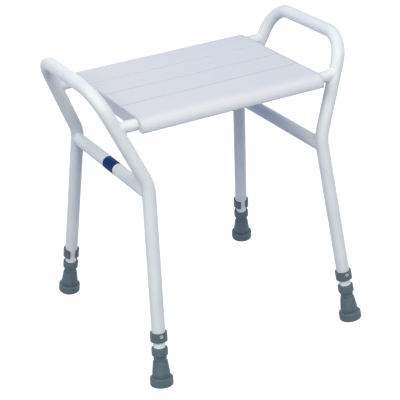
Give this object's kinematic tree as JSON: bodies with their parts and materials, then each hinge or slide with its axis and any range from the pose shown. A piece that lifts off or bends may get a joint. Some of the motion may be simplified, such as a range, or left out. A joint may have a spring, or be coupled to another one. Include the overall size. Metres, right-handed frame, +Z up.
{
  "type": "shower stool",
  "caption": "Height-adjustable shower stool with white bent-tube side frames, armrests, a slatted plastic seat and grey rubber ferrules.",
  "frame": {"origin": "centre of the stool on the floor", "axes": "+X to the right across the seat, +Y from front to back, +Z up"},
  "size_m": [0.5434, 0.4682, 0.5732],
  "materials": {
    "frame_coating": "white powder coat on steel tube",
    "extension_coating": "white powder coat on steel tube",
    "seat_plastic": "satin white extruded plastic",
    "ferrule_rubber": "matt grey moulded rubber",
    "clip_plastic": "satin grey moulded plastic",
    "washer_steel": "zinc-plated steel",
    "pin_steel": "plated steel",
    "label_film": "plain navy film with a white edge"
  },
  "bodies": {
    "frame": {"left_side_frame": "frame_coating", "right_side_frame": "frame_coating", "left_side_rail": "frame_coating", "right_side_rail": "frame_coating", "front_seat_rail": "frame_coating", "rear_seat_rail": "frame_coating", "front_slat": "seat_plastic", "front_middle_slat": "seat_plastic", "rear_middle_slat": "seat_plastic", "rear_slat": "seat_plastic", "left_end_cap": "seat_plastic", "right_end_cap": "seat_plastic", "side_label": "label_film"},
    "front_left_leg": {"front_left_extension": "extension_coating", "front_left_ferrule": "ferrule_rubber", "front_left_washer": "washer_steel"},
    "front_left_lock": {"front_left_clip": "clip_plastic", "front_left_clip_pin": "pin_steel"},
    "front_right_leg": {"front_right_extension": "extension_coating", "front_right_ferrule": "ferrule_rubber", "front_right_washer": "washer_steel"},
    "front_right_lock": {"front_right_clip": "clip_plastic", "front_right_clip_pin": "pin_steel"},
    "rear_left_leg": {"rear_left_extension": "extension_coating", "rear_left_ferrule": "ferrule_rubber", "rear_left_washer": "washer_steel"},
    "rear_left_lock": {"rear_left_clip": "clip_plastic", "rear_left_clip_pin": "pin_steel"},
    "rear_right_leg": {"rear_right_extension": "extension_coating", "rear_right_ferrule": "ferrule_rubber", "rear_right_washer": "washer_steel"},
    "rear_right_lock": {"rear_right_clip": "clip_plastic", "rear_right_clip_pin": "pin_steel"}
  },
  "joints": [
    {"name": "front_left_leg_extension", "type": "slide", "parent": "frame", "child": "front_left_leg", "axis": [-0.076, -0.1545, -0.9851], "range_m": [0, 0.15]},
    {"name": "front_left_lock_pull", "type": "slide", "parent": "frame", "child": "front_left_lock", "axis": [-0.127, -0.9784, 0.1633], "range_m": [0, 0.045], "deforming": ["front_left_clip"]},
    {"name": "front_right_leg_extension", "type": "slide", "parent": "frame", "child": "front_right_leg", "axis": [0.076, -0.1545, -0.9851], "range_m": [0, 0.15]},
    {"name": "front_right_lock_pull", "type": "slide", "parent": "frame", "child": "front_right_lock", "axis": [-0.1505, -0.9784, 0.1419], "range_m": [0, 0.045], "deforming": ["front_right_clip"]},
    {"name": "rear_left_leg_extension", "type": "slide", "parent": "frame", "child": "rear_left_leg", "axis": [-0.076, 0.1545, -0.9851], "range_m": [0, 0.15]},
    {"name": "rear_left_lock_pull", "type": "slide", "parent": "frame", "child": "rear_left_lock", "axis": [0.1505, 0.9784, 0.1419], "range_m": [0, 0.045], "deforming": ["rear_left_clip"]},
    {"name": "rear_right_leg_extension", "type": "slide", "parent": "frame", "child": "rear_right_leg", "axis": [0.076, 0.1545, -0.9851], "range_m": [0, 0.15]},
    {"name": "rear_right_lock_pull", "type": "slide", "parent": "frame", "child": "rear_right_lock", "axis": [0.127, 0.9784, 0.1633], "range_m": [0, 0.045], "deforming": ["rear_right_clip"]}
  ]
}
